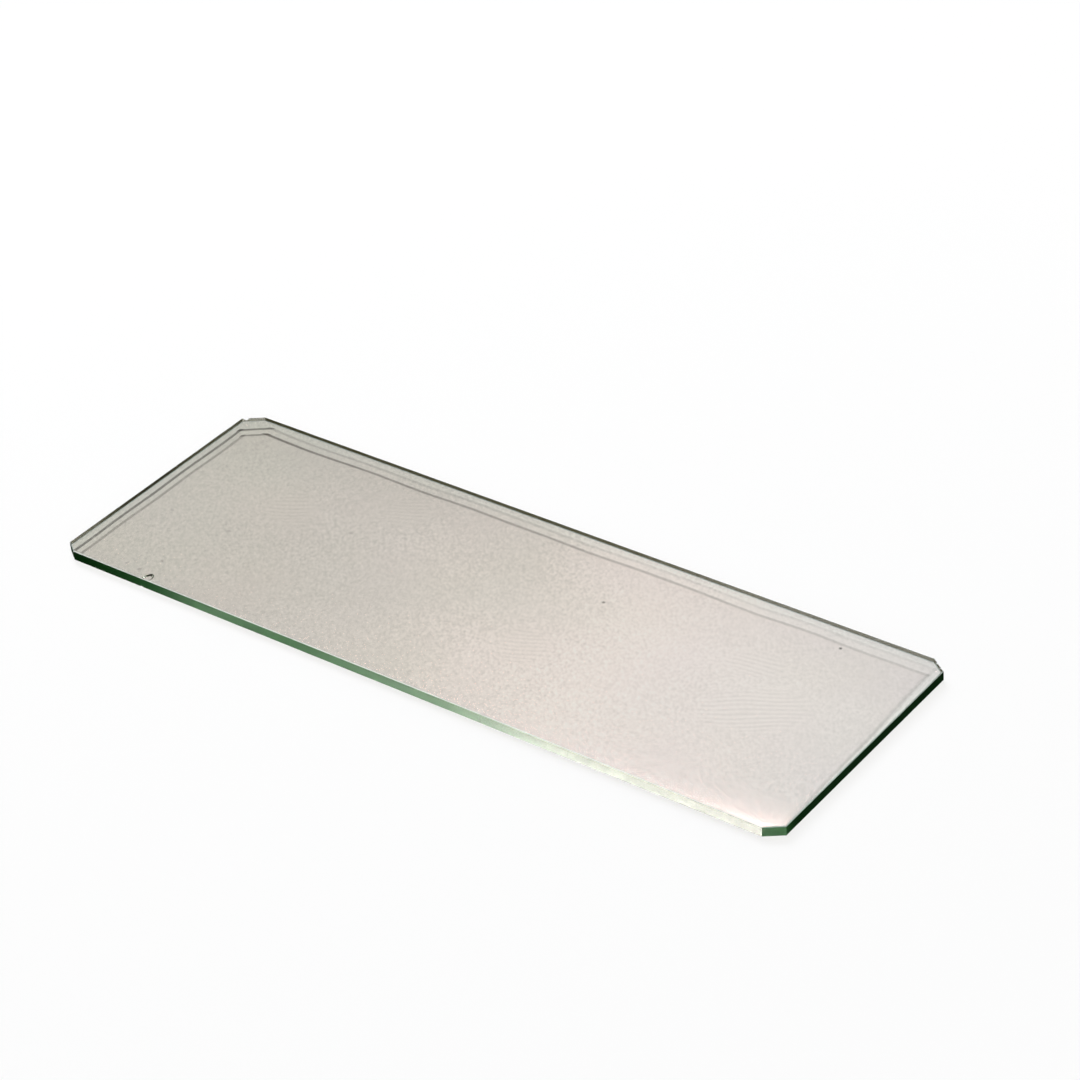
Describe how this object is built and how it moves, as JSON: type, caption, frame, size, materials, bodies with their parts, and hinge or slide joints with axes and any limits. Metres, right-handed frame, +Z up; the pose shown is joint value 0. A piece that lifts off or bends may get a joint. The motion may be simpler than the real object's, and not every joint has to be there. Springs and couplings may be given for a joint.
{
  "type": "microscope slide",
  "caption": "Flat rectangular plate of clear glass with clipped corners and finely seamed edges, to hold a specimen under a microscope.",
  "frame": {"origin": "centre of the underside, at the centre of the plate's box", "axes": "+X along the length, +Y along the width to the rear long edge, +Z up through the thickness"},
  "size_m": [0.076, 0.026, 0.001],
  "materials": {
    "clear_glass": "clear float glass, faintly green through its edges, with a light film and handling marks"
  },
  "bodies": {
    "root": {"glass_plate": "clear_glass"}
  },
  "joints": []
}
